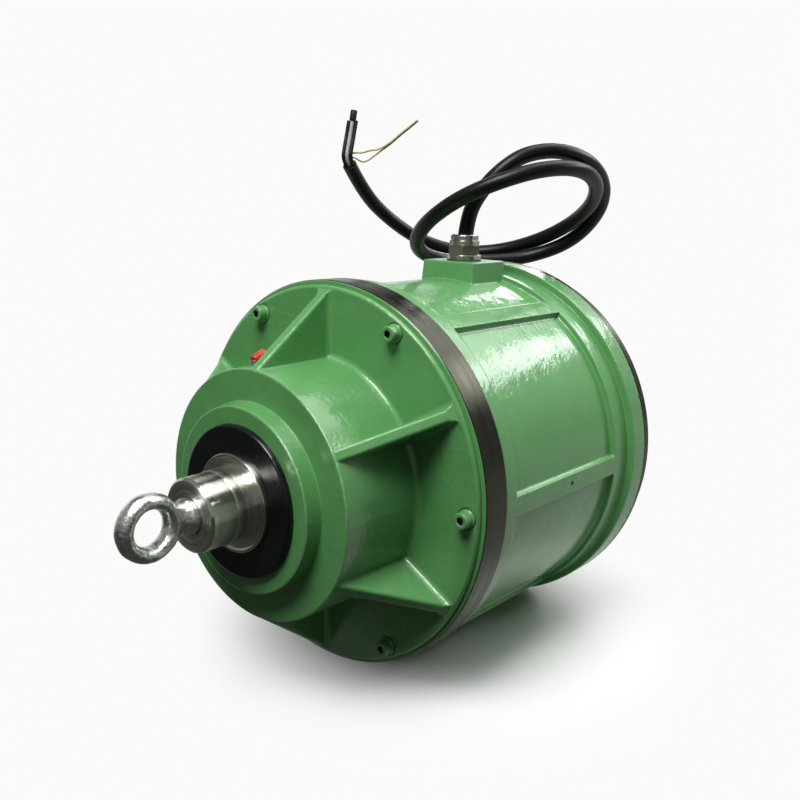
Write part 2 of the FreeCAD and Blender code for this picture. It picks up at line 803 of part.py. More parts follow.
def smooth_path(points):
    """Straight runs joined by tangent arcs as large as the runs allow."""
    points = [gland_entry + Vector(*point) for point in points]
    edges, start, radii = [], points[0], []
    for before, corner, after in zip(points, points[1:], points[2:]):
        shorter = min((corner - before).Length, (after - corner).Length)
        setback = 0.45 * shorter
        enter = (before - corner).normalize()
        leave = (after - corner).normalize()
        half_turn = (pi - enter.getAngle(leave)) / 2
        radius = setback / tan(half_turn)
        radii.append(radius)
        first, last = corner + enter * setback, corner + leave * setback
        inward = (enter + leave).normalize()
        middle = corner + inward * (radius / cos(half_turn) - radius)
        edges += [Part.LineSegment(start, first).toShape(), Part.Arc(first, middle, last).toShape()]
        start = last
    edges.append(Part.LineSegment(start, points[-1]).toShape())
    return Part.Wire(edges), min(radii)


def tube(points, radius):
    """A round cord along a route."""
    path, tightest = smooth_path(points)
    start, towards = path.Vertexes[0].Point, Vector(*points[1]) - Vector(*points[0])
    section = Part.Wire(Part.makeCircle(radius, start, towards))
    solid = path.makePipeShell([section], True, False)
    share = solid.Volume / (pi * radius ** 2 * path.Length)
    print("cord %.0f mm long, tightest bend %.0f mm, volume %.3f of section times length"
          % (path.Length, tightest, share))
    return solid


def shifted(route, offset):
    """The same route beside the first one."""
    return [tuple(Vector(*point) + offset) for point in route]


def end_axes():
    """Two directions across the cable's cut end, level and upright."""
    along = (Vector(*cable_route[-1]) - Vector(*cable_route[-2])).normalize()
    level = along.cross(UP).normalize()
    return level, level.cross(along)


def cable_cores():
    """Three insulated cores side by side out of the cut end."""
    level = end_axes()[0]
    return Part.Compound([tube(shifted(core_route, level * (side * core_spacing)), core_radius)
                          for side in (-1, 0, 1)])


def core_sleeve():
    """Shrink sleeve that closes the middle core."""
    end, before = Vector(*core_route[-1]), Vector(*core_route[-2])
    return bar(core_sleeve_radius, gland_entry + end, core_sleeve_length,
               (end - before).normalize())


def thin_leads():
    """Pair of thin sensor leads that leave the cut end above the cores."""
    level, across = end_axes()
    foot = Vector(*cable_route[-1]) + across * (core_spacing + thin_lead_spread)
    return Part.Compound([tube(shifted([tuple(foot)] + thin_route, level * (side * thin_lead_spread)),
                               thin_lead_radius) for side in (-1, 1)])


for end, place in (("front", lambda shape: shape), ("rear", to_rear)):
    save(end + "_shield", place(end_shield()))
    save(end + "_shield_screws", place(shield_screws()))
    save(end + "_bearing_outer_ring", place(bearing_outer()))
    save(end + "_bearing_inner_ring", place(bearing_inner()))
    save(end + "_rollers", place(Part.Compound(rollers(roller_radius, roller_length))))
    save(end + "_roller_cage", place(roller_cage()))
    save(end + "_inner_cap", place(inner_cap()))
    save(end + "_cap_screws", place(cap_screws()))
    save(end + "_shaft_seal", place(seal()))
    save(end + "_seal_sleeve", place(seal_sleeve()))
    save(end + "_grease_nipple", place(grease_nipple()))
    save(end + "_nipple_cap", place(nipple_cap()))

save("stator_frame", stator_frame())
save("front_locating_band", locating_band())
save("rear_locating_band", rear_band())
save("stator_core", stator_core())
save("stator_winding", stator_winding())
save("shaft", half_shaft().fuse(to_rear(half_shaft())).removeSplitter())
save("rotor_core", rotor_core())
save("rotor_cage", rotor_cage())
save("lifting_eye", lifting_eye())
save("gland_gasket", gland_gasket())
save("gland_body", gland_body())
save("gland_nut", gland_nut())
save("gland_insert", gland_insert())
save("lead_bundle", lead_bundle())
save("cable", tube(cable_route, cable_radius))
save("cable_cores", cable_cores())
save("core_sleeve", core_sleeve())
save("thin_leads", thin_leads())
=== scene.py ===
# %% [markdown]
# # A round-bodied vibration motor
# The engineer's solids come in as a fixed frame: a painted casting between two ribbed end
# shields, with a bare steel shaft end, a lifting eye and a supply cable. Blender adds what the
# solids can't carry: paint, turned metal, rubber, a cable that bends like a cable, and light.
# The frame is loaded first, and its box is kept: the floor is set at its lowest point.

from math import cos, pi, radians, sin

import bmesh
import bpy
from mathutils import Matrix, Vector, noise


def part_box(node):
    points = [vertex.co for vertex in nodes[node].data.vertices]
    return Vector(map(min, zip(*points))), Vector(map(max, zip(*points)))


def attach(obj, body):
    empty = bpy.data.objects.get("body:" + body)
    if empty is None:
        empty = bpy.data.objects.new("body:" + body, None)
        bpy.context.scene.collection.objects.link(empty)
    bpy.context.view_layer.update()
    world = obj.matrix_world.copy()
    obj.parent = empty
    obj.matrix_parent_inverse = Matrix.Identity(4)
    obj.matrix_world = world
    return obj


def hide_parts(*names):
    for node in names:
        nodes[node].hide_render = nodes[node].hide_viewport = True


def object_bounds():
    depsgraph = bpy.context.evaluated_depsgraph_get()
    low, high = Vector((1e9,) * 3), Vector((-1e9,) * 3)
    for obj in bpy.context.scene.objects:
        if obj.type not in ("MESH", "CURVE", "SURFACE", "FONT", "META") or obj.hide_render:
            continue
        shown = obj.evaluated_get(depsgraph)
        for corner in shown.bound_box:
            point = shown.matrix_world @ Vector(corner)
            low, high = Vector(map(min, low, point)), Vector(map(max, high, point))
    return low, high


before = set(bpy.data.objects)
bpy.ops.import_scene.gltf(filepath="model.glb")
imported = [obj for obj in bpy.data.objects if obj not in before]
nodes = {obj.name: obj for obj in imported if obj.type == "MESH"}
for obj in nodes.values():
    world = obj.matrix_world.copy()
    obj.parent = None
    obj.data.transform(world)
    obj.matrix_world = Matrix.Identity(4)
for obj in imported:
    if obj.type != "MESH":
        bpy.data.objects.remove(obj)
cad_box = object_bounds()
print("frame:", len(nodes), "nodes, box", [[round(v, 3) for v in corner] for corner in cad_box])

# %% [markdown]
# ## Helpers for shaders
# Every finish below is a small network of nodes. A few helpers keep the networks readable: one
# adds a node and sets what is named, another starts a material with its surface shader, and the
# rest are single steps of arithmetic, colour and noise. Typing each node by hand would also
# work, but then the idea of a finish is lost in wiring.

# %% Node and material helpers
def add_node(tree, kind, inputs=None, **settings):
    """Add a shader node, set its options and the values or links of its inputs."""
    node = tree.nodes.new(kind)
    for name, value in settings.items():
        setattr(node, name, value)
    for socket, value in (inputs or {}).items():
        if isinstance(value, bpy.types.NodeSocket):
            tree.links.new(value, node.inputs[socket])
        else:
            node.inputs[socket].default_value = value
    return node


def new_finish(name, **constants):
    """Start a material: its tree and its surface shader, with the constants set on the shader."""
    material = bpy.data.materials.new(name)
    material.use_nodes = True
    tree = material.node_tree
    surface = tree.nodes["Principled BSDF"]
    for socket, value in constants.items():
        surface.inputs[socket.replace("_", " ")].default_value = value
    return material, tree, surface


def math_node(tree, operation, first, second=0.0, clamp=False):
    """One arithmetic step; returns its output."""
    node = add_node(tree, "ShaderNodeMath", {0: first, 1: second}, operation=operation,
                    use_clamp=clamp)
    return node.outputs[0]


def blend_colours(tree, share, first, second):
    """Mix two colours by a share from 0 to 1; returns the mixed colour."""
    node = add_node(tree, "ShaderNodeMix", {0: share, 6: first, 7: second}, data_type="RGBA")
    return node.outputs[2]


def ramp(tree, value, low, high, to_low=0.0, to_high=1.0):
    """Map a value smoothly from one range to another; returns the mapped value."""
    node = add_node(tree, "ShaderNodeMapRange",
                    {0: value, 1: low, 2: high, 3: to_low, 4: to_high},
                    interpolation_type="SMOOTHSTEP")
    return node.outputs[0]


def dot(tree, first, second):
    """The dot product of two vectors; returns its value."""
    return add_node(tree, "ShaderNodeVectorMath", {0: first, 1: second},
                    operation="DOT_PRODUCT").outputs["Value"]


def length_of(tree, vector):
    """The length of a vector; returns its value."""
    return add_node(tree, "ShaderNodeVectorMath", {0: vector}, operation="LENGTH").outputs["Value"]


def object_place(tree):
    """Where a point lies on the object, in metres; returns the vector."""
    return add_node(tree, "ShaderNodeTexCoord").outputs["Object"]


def soft_noise(tree, place, size, detail, roughness, times=1.0):
    """Noise whose lumps have a real size, or a number of times finer; returns its value."""
    return add_node(tree, "ShaderNodeTexNoise", {
        "Vector": place, "Scale": math_node(tree, "DIVIDE", times, size), "Detail": detail,
        "Roughness": roughness}).outputs[0]


def new_effect(name, inputs, outputs):
    """Start a shader group with named inputs and outputs."""
    group = bpy.data.node_groups.new(name, "ShaderNodeTree")
    for label, kind, value in inputs:
        socket = group.interface.new_socket(label, in_out="INPUT", socket_type=kind)
        socket.default_value = value
    for label, kind in outputs:
        group.interface.new_socket(label, in_out="OUTPUT", socket_type=kind)
    entry = group.nodes.new("NodeGroupInput")
    leave = group.nodes.new("NodeGroupOutput")
    return group, entry.outputs, leave.inputs


def use_effect(tree, group, **values):
    """Place an effect in a material; returns its outputs."""
    node = add_node(tree, "ShaderNodeGroup", node_tree=group)
    for label, value in values.items():
        node.inputs[label.replace("_", " ")].default_value = value
    return node.outputs


print("shader helpers ready")

# %% [markdown]
# ## Shared effects
# Several finishes need the same thing: the slight waviness of paint on a casting, the lines
# that a lathe leaves, and softened edges. Each is built once as a node group. The groups read
# Object coordinates, in metres, so a pattern has its real size on every piece.

# %% Paint on a casting: fine orange peel over slow lumps
FLOAT, VECTOR = "NodeSocketFloat", "NodeSocketVector"

paint_relief, given, result = new_effect(
    "Paint relief", [("Peel size", FLOAT, 0.004), ("Lump size", FLOAT, 0.02)],
    [("Height", FLOAT), ("Mottle", FLOAT)])
place = object_place(paint_relief)
peel = soft_noise(paint_relief, place, given["Peel size"], 2.0, 0.5)
lump = soft_noise(paint_relief, place, given["Lump size"], 3.0, 0.55)
deep_lump = math_node(paint_relief, "MULTIPLY", lump, 4.0)
paint_relief.links.new(math_node(paint_relief, "ADD", peel, deep_lump), result["Height"])
paint_relief.links.new(lump, result["Mottle"])

# %% Edges, found by comparing the softened normal with the true one
soft_edges, given, result = new_effect(
    "Soft edges", [("Width", FLOAT, 0.0015), ("Gain", FLOAT, 6.0)],
    [("Edge", FLOAT), ("Normal", VECTOR)])
softened = add_node(soft_edges, "ShaderNodeBevel", {"Radius": given["Width"]},
                    samples=6).outputs[0]
true_normal = add_node(soft_edges, "ShaderNodeNewGeometry").outputs["True Normal"]
turn_away = math_node(soft_edges, "SUBTRACT", 1.0, dot(soft_edges, softened, true_normal))
soft_edges.links.new(math_node(soft_edges, "MULTIPLY", turn_away, given["Gain"], clamp=True),
                     result["Edge"])
soft_edges.links.new(softened, result["Normal"])

# %% Lathe lines: they change along the axis on a cylinder, and with the radius on a face
lathe_lines, given, result = new_effect(
    "Lathe lines", [("Centre", VECTOR, (0, 0, 0)), ("Axis", VECTOR, (0, 1, 0)),
                    ("Spacing", FLOAT, 0.0006)], [("Height", FLOAT), ("Streak", FLOAT)])
offset = add_node(lathe_lines, "ShaderNodeVectorMath",
                  {0: object_place(lathe_lines), 1: given["Centre"]},
                  operation="SUBTRACT").outputs[0]
station = dot(lathe_lines, offset, given["Axis"])
on_axis = add_node(lathe_lines, "ShaderNodeVectorMath", {0: given["Axis"], "Scale": station},
                   operation="SCALE").outputs[0]
from_axis = add_node(lathe_lines, "ShaderNodeVectorMath", {0: offset, 1: on_axis},
                     operation="SUBTRACT").outputs[0]
travel = math_node(lathe_lines, "ADD", station, length_of(lathe_lines, from_axis))
fine = add_node(lathe_lines, "ShaderNodeTexNoise", {
    "W": travel, "Scale": math_node(lathe_lines, "DIVIDE", 1.0, given["Spacing"]),
    "Detail": 3.0}, noise_dimensions="1D").outputs[0]
coarse = add_node(lathe_lines, "ShaderNodeTexNoise", {
    "W": travel, "Scale": math_node(lathe_lines, "DIVIDE", 0.12, given["Spacing"]),
    "Detail": 1.0}, noise_dimensions="1D").outputs[0]
lathe_lines.links.new(fine, result["Height"])
lathe_lines.links.new(coarse, result["Streak"])

# %% Handling marks: cloudy patches with a finer speckle
handling, given, result = new_effect(
    "Handling", [("Patch size", FLOAT, 0.03)], [("Patches", FLOAT), ("Speckle", FLOAT)])
place = object_place(handling)
clouds = soft_noise(handling, place, given["Patch size"], 5.0, 0.6)
speckle = soft_noise(handling, place, given["Patch size"], 4.0, 0.7, times=14.0)
handling.links.new(ramp(handling, clouds, 0.35, 0.7), result["Patches"])
handling.links.new(speckle, result["Speckle"])
print("effects:", [group.name for group in bpy.data.node_groups])

# %% [markdown]
# ## Machine green paint
# The castings are sprayed with a glossy machine enamel. Over the rough sand-cast skin it lies
# in a slight orange peel. Its colour clouds a little. On edges it is painted paler, partly
# for thinner paint and partly as a painted highlight; the edges also catch the light because
# they are rounded. A bevel in the shader rounds them for the light without adding a single
# face to the imported solids.

# %% Surface relief, and where painted shade darkens the screws' sockets
SHAFT_AXIS = (0, 1, 0)
UPRIGHT = (0, 0, 1)
# most of a noise lies between these two values
LOW, HIGH = 0.3, 0.7
# the screws stand a sixth of a turn apart on a circle of this radius
SCREW_STEP = radians(60)
SCREW_CIRCLE = 0.1555
# a point is in a socket if it is this near a screw's axis and this far under its face
SOCKET_REACH = 0.0035
SOCKET_LIP = 0.0005
MIDDLE = (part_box("stator_frame")[0][1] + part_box("stator_frame")[1][1]) / 2
SCREW_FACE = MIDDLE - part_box("front_shield_screws")[0][1]


def relief(tree, height, distance, normal=None):
    """Turn a height into a surface normal; returns the normal."""
    inputs = {"Height": height, "Distance": distance, "Strength": 1.0}
    if normal is not None:
        inputs["Normal"] = normal
    return add_node(tree, "ShaderNodeBump", inputs).outputs[0]


def hypotenuse(tree, first, second):
    """The distance that two offsets at a right angle make; returns its value."""
    squares = math_node(tree, "ADD", math_node(tree, "POWER", first, 2.0),
                        math_node(tree, "POWER", second, 2.0))
    return math_node(tree, "SQRT", squares)


def in_screw_socket(tree):
    """A mask that is 1 inside the hexagon sockets of the twelve shield screws, for painted shade.
    """
    x, y, z = add_node(tree, "ShaderNodeSeparateXYZ", {0: object_place(tree)}).outputs
    turns = math_node(tree, "DIVIDE", math_node(tree, "ARCTAN2", x, z), SCREW_STEP)
    share = math_node(tree, "SUBTRACT", math_node(tree, "FRACT", turns), 0.5)
    angle = math_node(tree, "MULTIPLY", share, SCREW_STEP)
    reach = hypotenuse(tree, x, z)
    sideways = math_node(tree, "MULTIPLY", reach, math_node(tree, "SINE", angle))
    upwards = math_node(tree, "SUBTRACT",
                        math_node(tree, "MULTIPLY", reach, math_node(tree, "COSINE", angle)),
                        SCREW_CIRCLE)
    close = math_node(tree, "LESS_THAN", hypotenuse(tree, sideways, upwards), SOCKET_REACH)
    from_middle = math_node(tree, "ABSOLUTE", math_node(tree, "SUBTRACT", y, MIDDLE))
    sunk = math_node(tree, "LESS_THAN", from_middle, SCREW_FACE - SOCKET_LIP)
    return math_node(tree, "MULTIPLY", close, sunk)


print("screw faces", round(SCREW_FACE, 4), "from the middle at", round(MIDDLE, 4))

# %% Green enamel
ENAMEL, ENAMEL_CLOUD = (0.101, 0.315, 0.097, 1), (0.114, 0.343, 0.109, 1)
# the first colour here paints edges paler: partly thinner paint, partly a painted highlight
# the second colour here is painted shade: near black for the deep screw sockets
ENAMEL_EDGE_WEAR_AND_HIGHLIGHT, SOCKET_SHADE = (0.24, 0.50, 0.23, 1), (0.003, 0.005, 0.003, 1)


def green_enamel(name, sockets=False):
    """Glossy green over cast iron: edges paler, partly worn, partly painted highlight; sockets in
    painted shade.
    """
    material, tree, surface = new_finish(name, Coat_Weight=0.5, Coat_Roughness=0.5)
    skin = use_effect(tree, paint_relief, Peel_size=0.0042, Lump_size=0.024)
    edges = use_effect(tree, soft_edges, Width=0.0022, Gain=5.0)
    marks = use_effect(tree, handling, Patch_size=0.06)
    clouded = blend_colours(tree, marks["Patches"], ENAMEL, ENAMEL_CLOUD)
    # painted highlight with some wear: rounded edges get a paler green
    edge_wear_and_highlight = math_node(tree, "MULTIPLY", edges["Edge"], 0.55)
    coat = blend_colours(tree, edge_wear_and_highlight, clouded, ENAMEL_EDGE_WEAR_AND_HIGHLIGHT)
    if sockets:
        # painted shade: the deep screw sockets get a near-black colour
        coat = blend_colours(tree, in_screw_socket(tree), coat, SOCKET_SHADE)
    tree.links.new(coat, surface.inputs["Base Color"])
    tree.links.new(ramp(tree, skin["Mottle"], LOW, HIGH, 0.11, 0.19), surface.inputs["Roughness"])
    tree.links.new(relief(tree, skin["Height"], 0.00022, edges["Normal"]),
                   surface.inputs["Normal"])
    return material


paint = green_enamel("Machine green enamel")
screw_paint = green_enamel("Green enamel on screws", sockets=True)
print("painted finishes:", paint.name, "and", screw_paint.name)

# %% [markdown]
# ## Bare metals
# Four kinds of bare metal show. The locating bands are ground and blackened, the shaft and its
# sleeve are freshly turned, the gland is nickel plated, and the lifting eye is forged and zinc
# plated. All are metallic shaders. What tells them apart is the colour, the roughness, the
# lines, and on turned metal a glare that is drawn out across the lines.

# %% Turned and ground metals
def lathe_metal(name, colour, streaks, roughness, spacing, depth, centre=(0, 0, 0),
                axis=SHAFT_AXIS, edge_width=0.0006, stretch=0.9):
    """Metal worked on a lathe: fine lines around its axis, and glare drawn out across them."""
    material, tree, surface = new_finish(name, Metallic=1.0, Anisotropic=stretch,
                                         Anisotropic_Rotation=0.25)
    around = add_node(tree, "ShaderNodeTangent", direction_type="RADIAL",
                      axis="Y" if axis == SHAFT_AXIS else "Z")
    tree.links.new(around.outputs[0], surface.inputs["Tangent"])
    lines = use_effect(tree, lathe_lines, Centre=centre, Axis=axis, Spacing=spacing)
    edges = use_effect(tree, soft_edges, Width=edge_width, Gain=4.0)
    marks = use_effect(tree, handling, Patch_size=0.05)
    metal = blend_colours(tree, lines["Streak"], colour, streaks)
    dull = math_node(tree, "MULTIPLY", marks["Patches"], 0.25)
    tree.links.new(blend_colours(tree, dull, metal, tuple(0.7 * c for c in colour[:3]) + (1,)),
                   surface.inputs["Base Color"])
    tree.links.new(ramp(tree, lines["Streak"], LOW, HIGH, roughness - 0.05, roughness + 0.05),
                   surface.inputs["Roughness"])
    tree.links.new(relief(tree, lines["Height"], depth, edges["Normal"]),
                   surface.inputs["Normal"])
    return material


band_metal = lathe_metal(
    "Blackened steel", (0.040, 0.041, 0.030, 1), (0.068, 0.069, 0.052, 1),
    roughness=0.28, spacing=0.0009, depth=0.00003, stretch=0.75)
shaft_metal = lathe_metal(
    "Turned steel", (0.56, 0.555, 0.50, 1), (0.84, 0.835, 0.77, 1),
    roughness=0.26, spacing=0.0007, depth=0.000012, stretch=0.94)
sleeve_metal = lathe_metal(
    "Hardened sleeve steel", (0.50, 0.495, 0.44, 1), (0.74, 0.73, 0.66, 1),
    roughness=0.27, spacing=0.0006, depth=0.00001)
bearing_metal = lathe_metal(
    "Ground bearing steel", (0.55, 0.55, 0.55, 1), (0.62, 0.62, 0.62, 1),
    roughness=0.14, spacing=0.0004, depth=0.000004)
cage_metal = lathe_metal(
    "Turned brass", (0.72, 0.50, 0.20, 1), (0.78, 0.57, 0.26, 1),
    roughness=0.26, spacing=0.0006, depth=0.00001)
gland_middle = (Vector(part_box("gland_nut")[0]) + Vector(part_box("gland_nut")[1])) / 2
gland_metal = lathe_metal(
    "Nickel-plated brass", (0.40, 0.40, 0.35, 1), (0.56, 0.55, 0.48, 1),
    roughness=0.22, spacing=0.0008, depth=0.00002, centre=tuple(gland_middle), axis=UPRIGHT,
    edge_width=0.0008, stretch=0.7)
print("gland axis at", [round(v, 4) for v in gland_middle])

# %% Overspray: the shield is sprayed with the band on, so the band's front face is green too
BAND_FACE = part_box("front_locating_band")[0][1]
SPRAY_REACH = 0.0007
OVERSPRAY = (0.108, 0.33, 0.102, 1)


def spray_front_face(material):
    """Paint what lies in front of the band's front edge, and leave the rest bare metal."""
    tree = material.node_tree
    surface = tree.nodes["Principled BSDF"]
    station = add_node(tree, "ShaderNodeSeparateXYZ", {0: object_place(tree)}).outputs["Y"]
    sprayed = math_node(tree, "LESS_THAN", station, BAND_FACE + SPRAY_REACH)
    bare = surface.inputs["Base Color"].links[0].from_socket
    tree.links.new(blend_colours(tree, sprayed, bare, OVERSPRAY), surface.inputs["Base Color"])
    tree.links.new(math_node(tree, "SUBTRACT", 1.0, sprayed), surface.inputs["Metallic"])


spray_front_face(band_metal)
print("band painted in front of", round(BAND_FACE + SPRAY_REACH, 4))

# %% Zinc plate on a forging, and other cast or rolled metals
def rough_metal(name, light, dark, roughness, grain, depth):
    """Cast, forged or rolled metal: cloudy, with an uneven skin."""
    material, tree, surface = new_finish(name, Metallic=1.0)
    marks = use_effect(tree, handling, Patch_size=grain)
    edges = use_effect(tree, soft_edges, Width=0.0008, Gain=4.0)
    tree.links.new(blend_colours(tree, marks["Patches"], light, dark),
                   surface.inputs["Base Color"])
    tree.links.new(ramp(tree, marks["Speckle"], 0.35, 0.65, roughness - 0.06, roughness + 0.08),
                   surface.inputs["Roughness"])
    tree.links.new(relief(tree, marks["Patches"], depth, edges["Normal"]),
                   surface.inputs["Normal"])
    return material


eye_metal = rough_metal(
    "Zinc plate on a forging", (0.82, 0.85, 0.81, 1), (0.55, 0.58, 0.54, 1),
    roughness=0.27, grain=0.007, depth=0.00025)
cast_iron = rough_metal(
    "Bare grey iron", (0.16, 0.155, 0.15, 1), (0.10, 0.10, 0.095, 1),
    roughness=0.48, grain=0.006, depth=0.0002)
cast_aluminium = rough_metal(
    "Cast aluminium", (0.66, 0.67, 0.68, 1), (0.52, 0.53, 0.54, 1),
    roughness=0.38, grain=0.01, depth=0.00015)
screw_metal = rough_metal(
    "Zinc-plated screw steel", (0.52, 0.52, 0.50, 1), (0.42, 0.42, 0.40, 1),
    roughness=0.28, grain=0.004, depth=0.00003)
print("bare metals:", [eye_metal.name, cast_iron.name, cast_aluminium.name, screw_metal.name])

# %% Stacked sheet and wound copper
def sheet_stack():
    """Stacked electrical sheets: a fine line for each sheet along the shaft."""
    material, tree, surface = new_finish("Stacked electrical sheet", Metallic=1.0)
    sheets = add_node(tree, "ShaderNodeTexWave", {
        "Vector": object_place(tree), "Scale": 200.0, "Distortion": 0.0},
        bands_direction="Y").outputs[1]
    marks = use_effect(tree, handling, Patch_size=0.02)
    metal = blend_colours(tree, sheets, (0.16, 0.16, 0.17, 1), (0.30, 0.30, 0.31, 1))
    tree.links.new(metal, surface.inputs["Base Color"])
    tree.links.new(ramp(tree, marks["Patches"], 0.0, 1.0, 0.35, 0.5), surface.inputs["Roughness"])
    tree.links.new(relief(tree, sheets, 0.00008), surface.inputs["Normal"])
    return material


def varnished_copper():
    """Copper wire laid along the slots under a brown varnish."""
    material, tree, surface = new_finish("Varnished copper", Metallic=0.7, Coat_Weight=0.6,
                                         Coat_Roughness=0.15)
    stretched = add_node(tree, "ShaderNodeMapping", {
        "Vector": object_place(tree), "Scale": (900.0, 25.0, 900.0)}).outputs[0]
    wires = add_node(tree, "ShaderNodeTexNoise", {"Vector": stretched, "Scale": 1.0,
                                                  "Detail": 1.0}).outputs[0]
    metal = blend_colours(tree, wires, (0.40, 0.12, 0.045, 1), (0.62, 0.25, 0.10, 1))
    tree.links.new(metal, surface.inputs["Base Color"])
    tree.links.new(ramp(tree, wires, LOW, HIGH, 0.25, 0.4), surface.inputs["Roughness"])
    tree.links.new(relief(tree, wires, 0.0004), surface.inputs["Normal"])
    return material


stack_metal, copper = sheet_stack(), varnished_copper()
print("metals made:", len(bpy.data.materials))

# %% [markdown]
# ## Rubber and plastics
# The shaft seal is a glossy moulded rubber disc, the cable has a duller black sheath, the cap
# on the grease nipple is red, and the bare end of the cable shows two black cores and a grey
# one. They share one recipe: a colour that clouds a little, a roughness that varies with it,
# and a fine skin.

# %% Rubber and plastic finishes
def moulded(name, colour, worn_colour, roughness, grain, depth, specular=0.5):
    """Moulded rubber or plastic, paler where it is handled and on its edges."""
    material, tree, surface = new_finish(name, Specular_IOR_Level=specular)
    marks = use_effect(tree, handling, Patch_size=grain)
    edges = use_effect(tree, soft_edges, Width=0.0006, Gain=3.0)
    share = math_node(tree, "MULTIPLY", marks["Patches"], 0.45)
    worn = math_node(tree, "MAXIMUM", share, math_node(tree, "MULTIPLY", edges["Edge"], 0.5))
    tree.links.new(blend_colours(tree, worn, colour, worn_colour), surface.inputs["Base Color"])
    tree.links.new(ramp(tree, marks["Speckle"], LOW, HIGH, roughness - 0.04, roughness + 0.06),
                   surface.inputs["Roughness"])
    tree.links.new(relief(tree, marks["Speckle"], depth, edges["Normal"]),
                   surface.inputs["Normal"])
    return material


seal_rubber = moulded(
    "Glossy seal rubber", (0.003, 0.0045, 0.005, 1), (0.006, 0.008, 0.0085, 1),
    roughness=0.22, grain=0.03, depth=0.00002)
cable_rubber = moulded(
    "Cable sheath rubber", (0.003, 0.0035, 0.0038, 1), (0.007, 0.0075, 0.008, 1),
    roughness=0.34, grain=0.02, depth=0.00003, specular=0.25)
gasket_rubber = moulded(
    "Gasket and insert rubber", (0.010, 0.010, 0.010, 1), (0.02, 0.02, 0.02, 1),
    roughness=0.55, grain=0.01, depth=0.00003)
core_plastic = moulded(
    "Core insulation", (0.005, 0.0055, 0.006, 1), (0.012, 0.013, 0.014, 1),
    roughness=0.40, grain=0.006, depth=0.00001, specular=0.3)
grey_core = moulded(
    "Grey core insulation", (0.42, 0.43, 0.41, 1), (0.55, 0.56, 0.54, 1),
    roughness=0.40, grain=0.006, depth=0.00001)
sleeve_plastic = moulded(
    "Shrink sleeve", (0.008, 0.0085, 0.009, 1), (0.02, 0.021, 0.022, 1),
    roughness=0.45, grain=0.004, depth=0.00004, specular=0.3)
lead_plastic = moulded(
    "Sensor lead insulation", (0.46, 0.36, 0.16, 1), (0.62, 0.52, 0.28, 1),
    roughness=0.35, grain=0.004, depth=0.00001)
cap_plastic = moulded(
    "Red cap plastic", (0.50, 0.028, 0.015, 1), (0.62, 0.07, 0.03, 1),
    roughness=0.30, grain=0.004, depth=0.00001)
print("finishes made:", len(bpy.data.materials))

# %% [markdown]
# ## Dressing the solids
# Most solids already have the right shape, so they keep it and only get a finish in each of
# their material slots. A table of name endings and finishes says which. The few solids that a
# finer piece replaces further down get a finish all the same.

# %% A finish for every solid
finish_of_ending = {
    "_shield": paint, "_shield_screws": screw_paint, "stator_frame": paint,
    "_locating_band": band_metal, "shaft": shaft_metal, "_seal_sleeve": sleeve_metal,
    "_shaft_seal": seal_rubber, "lifting_eye": eye_metal,
    "_bearing_outer_ring": bearing_metal, "_bearing_inner_ring": bearing_metal,
    "_rollers": bearing_metal, "_roller_cage": cage_metal,
    "_inner_cap": cast_iron, "_cap_screws": screw_metal, "_grease_nipple": screw_metal,
    "_nipple_cap": cap_plastic, "stator_core": stack_metal, "rotor_core": stack_metal,
    "stator_winding": copper, "rotor_cage": cast_aluminium,
    "gland_gasket": gasket_rubber, "gland_insert": gasket_rubber,
    "gland_body": gland_metal, "gland_nut": gland_metal, "lead_bundle": core_plastic,
    "cable": cable_rubber, "cable_cores": core_plastic, "core_sleeve": sleeve_plastic,
    "thin_leads": lead_plastic,
}
for name, solid in nodes.items():
    ending = max((e for e in finish_of_ending if name.endswith(e)), key=len)
    for slot in solid.material_slots:
        slot.material = finish_of_ending[ending]
print("dressed", len(nodes), "solids")

# %% [markdown]
# ## The supply cable
# A stiff rubber cable rises from the gland, makes two loose loops in the air behind it and
# ends cut off, with its cores bare. A curve with a round bevel is the natural tool: the
# control points give the lay, and one NURBS spline along them can't kink. The points are
# measured from where the cable enters the gland. They follow the solid cable, and lie a few
# millimetres off it in the riser and at the top of the loops.

# %% Cable routes from the gland
gland_entry = Vector((gland_middle.x, gland_middle.y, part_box("gland_insert")[0][2]))
cable_route = [
    (0, 0, 0), (0.002, 0, 0.0269), (0.014, 0.003, 0.0509), (0.030, 0.0135, 0.0725),
    (0.045, 0.0335, 0.0885), (0.065, 0.0665, 0.0930), (0.076, 0.1075, 0.0815),
    (0.071, 0.1455, 0.0585), (0.051, 0.1695, 0.0299), (0.018, 0.1745, -0.0001),
    (-0.021, 0.1595, -0.0181), (-0.054, 0.1275, -0.0251), (-0.077, 0.0845, -0.0251),
    (-0.081, 0.0385, -0.0171), (-0.064, -0.0005, -0.0011), (-0.031, -0.0235, 0.0209),
    (0.01, -0.0255, 0.0449), (0.047, -0.0085, 0.0625), (0.073, 0.0255, 0.0745),
    (0.086, 0.0685, 0.0755), (0.08, 0.1125, 0.0625), (0.057, 0.1455, 0.0405),
    (0.021, 0.1625, 0.0179), (-0.023, 0.1645, -0.0021), (-0.066, 0.1525, -0.0151),
    (-0.104, 0.1295, -0.0181), (-0.134, 0.0975, -0.0061), (-0.151, 0.0625, 0.0169),
    (-0.157, 0.0245, 0.0449), (-0.151, -0.0065, 0.0759)]
core_route = [
    (-0.151, -0.0065, 0.0759), (-0.1498, -0.0128, 0.0822), (-0.1499, -0.0098, 0.0949),
    (-0.1504, -0.0061, 0.1079), (-0.1501, -0.0036, 0.121)]
upper_lead_route = [
    (-0.1522, -0.0057, 0.0826), (-0.1506, -0.0056, 0.0873), (-0.1451, -0.0031, 0.0887),
    (-0.1402, 0.0012, 0.0883), (-0.1318, 0.0045, 0.0911), (-0.1226, 0.0085, 0.0919),
    (-0.113, 0.0147, 0.099), (-0.1055, 0.0218, 0.1082), (-0.0982, 0.0291, 0.1165),
    (-0.0932, 0.0346, 0.1227)]
